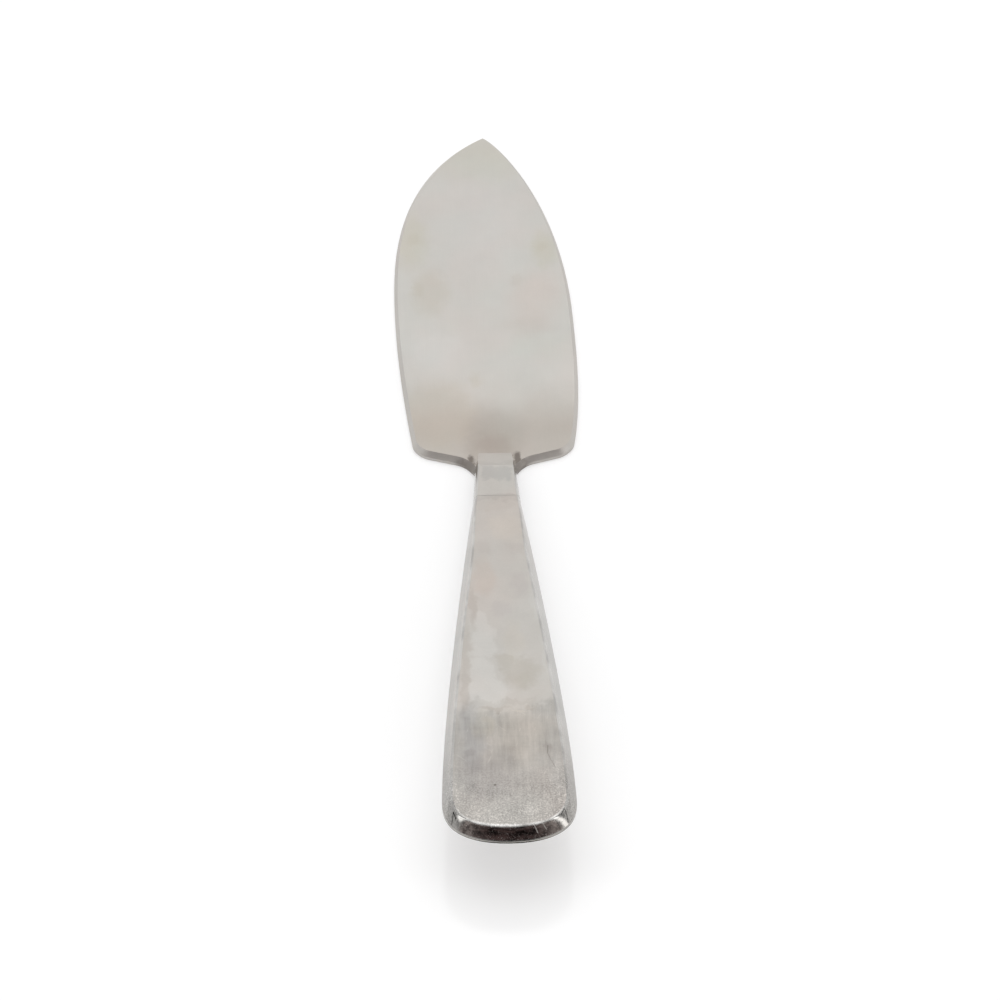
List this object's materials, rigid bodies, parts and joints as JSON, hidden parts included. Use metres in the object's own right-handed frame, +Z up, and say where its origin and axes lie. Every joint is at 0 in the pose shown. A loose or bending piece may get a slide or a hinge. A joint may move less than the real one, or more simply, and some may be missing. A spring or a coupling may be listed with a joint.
{
  "type": "fish serving knife",
  "caption": "Fish serving knife with a broad, pointed flat blade and a hollow, bevelled steel handle that widens to a rounded end and rises clear of the table.",
  "frame": {"origin": "on the blade's flat underside, on the knife's axis, 60 mm ahead of the line where the heel meets the shank", "axes": "+Y along the knife to the blade's tip, +Z up from the table, +X to the blade's straighter back; the bulging cutting side is at -X"},
  "size_m": [0.0454, 0.2695, 0.0151],
  "materials": {
    "blade_steel": "satin stainless steel, faintly streaked",
    "handle_steel": "satin stainless steel with polished bevels at the end",
    "braze": "pale braze, dressed flush",
    "filler": "dull brown filling compound"
  },
  "bodies": {
    "root": {"blade": "blade_steel", "ferrule": "handle_steel", "upper_shell": "handle_steel", "lower_shell": "handle_steel", "seam_braze": "braze", "neck_braze": "braze", "handle_core": "filler"}
  },
  "joints": []
}
